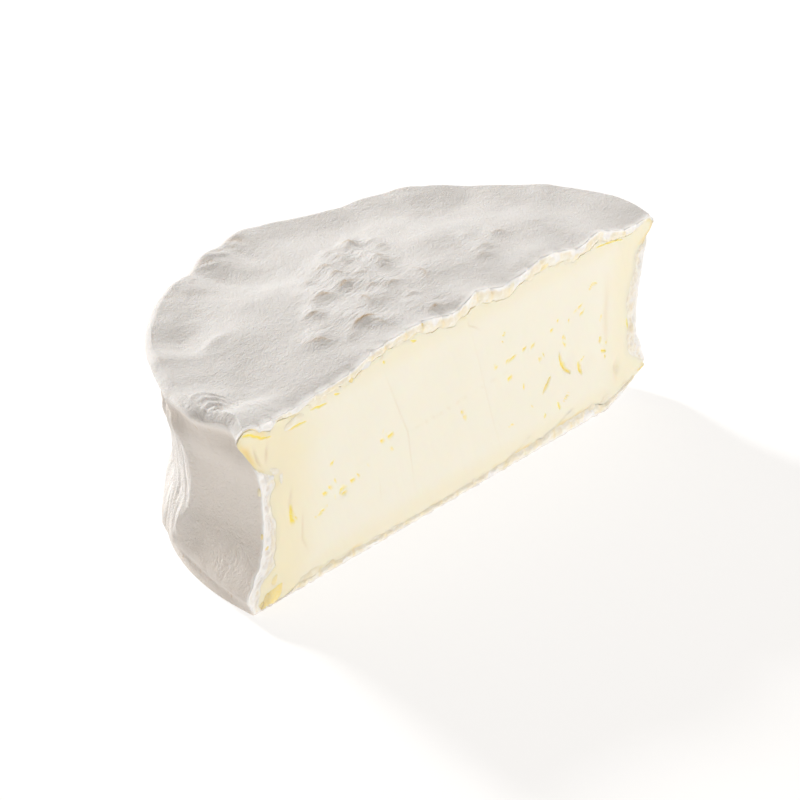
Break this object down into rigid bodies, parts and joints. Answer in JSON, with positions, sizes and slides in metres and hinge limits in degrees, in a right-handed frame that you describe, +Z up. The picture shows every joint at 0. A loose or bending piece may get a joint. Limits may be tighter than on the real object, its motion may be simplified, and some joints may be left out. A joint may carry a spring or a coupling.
{
  "type": "brillat-savarin cheese",
  "caption": "Half of a small soft-ripened brillat-savarin cheese wheel, cut straight across, with a crumpled white rind and a smooth ivory paste.",
  "frame": {"origin": "under the middle of the half wheel's box, at the height of its flat base", "axes": "+Z up; the cut runs along X and the cut face looks along -Y, with the rind's round side behind it"},
  "size_m": [0.129, 0.0628, 0.0461],
  "materials": {
    "rind": "matte white bloom",
    "paste": "smooth and slightly moist"
  },
  "bodies": {
    "root": {"cheese": "rind"}
  },
  "joints": []
}
